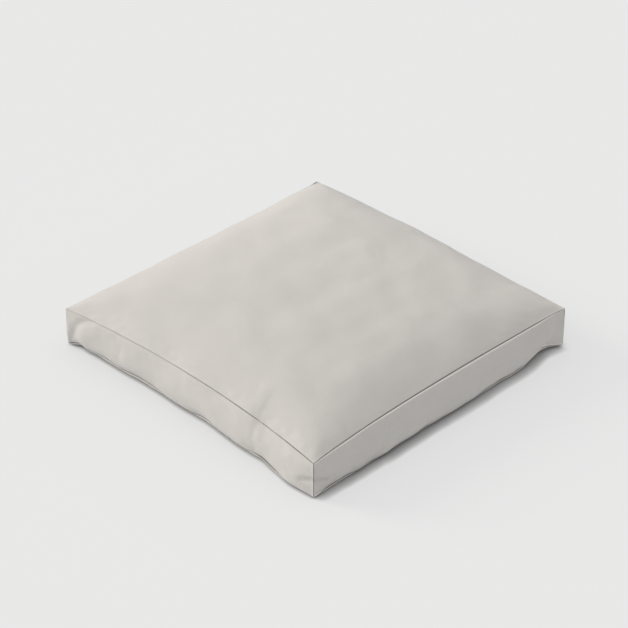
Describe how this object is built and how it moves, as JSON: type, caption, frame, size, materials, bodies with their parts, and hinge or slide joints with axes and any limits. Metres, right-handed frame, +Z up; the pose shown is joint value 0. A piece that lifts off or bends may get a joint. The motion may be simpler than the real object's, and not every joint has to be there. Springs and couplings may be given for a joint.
{
  "type": "floor cushion",
  "caption": "Square boxed floor cushion with a sewn fabric cover, a closed coil zip along the back and a foam core in fibre and lining.",
  "frame": {"origin": "on the floor, under the middle of the cushion", "axes": "+Z up; the front is -Y; the zip runs along X on the back, at +Y"},
  "size_m": [0.6, 0.6057, 0.12],
  "materials": {
    "cover_fabric": "smooth matte plain weave, pale greige",
    "seam_thread": "polyester sewing thread",
    "lining_cloth": "plain cotton ticking",
    "fibre_wrap": "bonded polyester fibre",
    "foam": "cut polyurethane foam",
    "zip_tape": "woven polyester tape",
    "zip_coil": "nylon monofilament",
    "zip_metal": "nickel plated"
  },
  "bodies": {
    "cushion": {"top_panel": "cover_fabric", "bottom_panel": "cover_fabric", "band_front": "cover_fabric", "band_right": "cover_fabric", "band_left": "cover_fabric", "zip_band_upper": "cover_fabric", "zip_band_lower": "cover_fabric", "top_seam_thread": "seam_thread", "bottom_seam_thread": "seam_thread", "corner_thread_front_left": "seam_thread", "corner_thread_front_right": "seam_thread", "corner_thread_back_right": "seam_thread", "corner_thread_back_left": "seam_thread", "zip_topstitch_upper": "seam_thread", "zip_topstitch_lower": "seam_thread", "zip_tape_upper": "zip_tape", "zip_tape_lower": "zip_tape", "zip_coil_upper": "zip_coil", "zip_coil_lower": "zip_coil", "zip_top_stop_upper": "zip_metal", "zip_top_stop_lower": "zip_metal", "zip_bottom_stop": "zip_metal", "lining_top": "lining_cloth", "lining_bottom": "lining_cloth", "fibre_wrap_top": "fibre_wrap", "fibre_wrap_bottom": "fibre_wrap", "foam_core": "foam"},
    "zip_slider": {"zip_slider_body": "zip_metal"},
    "zip_pull": {"zip_pull_tab": "zip_metal"}
  },
  "joints": [
    {"name": "zip_travel", "type": "slide", "parent": "cushion", "child": "zip_slider", "axis": [-1, 0, 0], "range_m": [0, 0.5234]},
    {"name": "pull_swing", "type": "hinge", "parent": "zip_slider", "child": "zip_pull", "pos_m": [0.2617, 0.3037, 0.041], "axis": [0, 0, -1], "range_deg": [0, 180]}
  ]
}
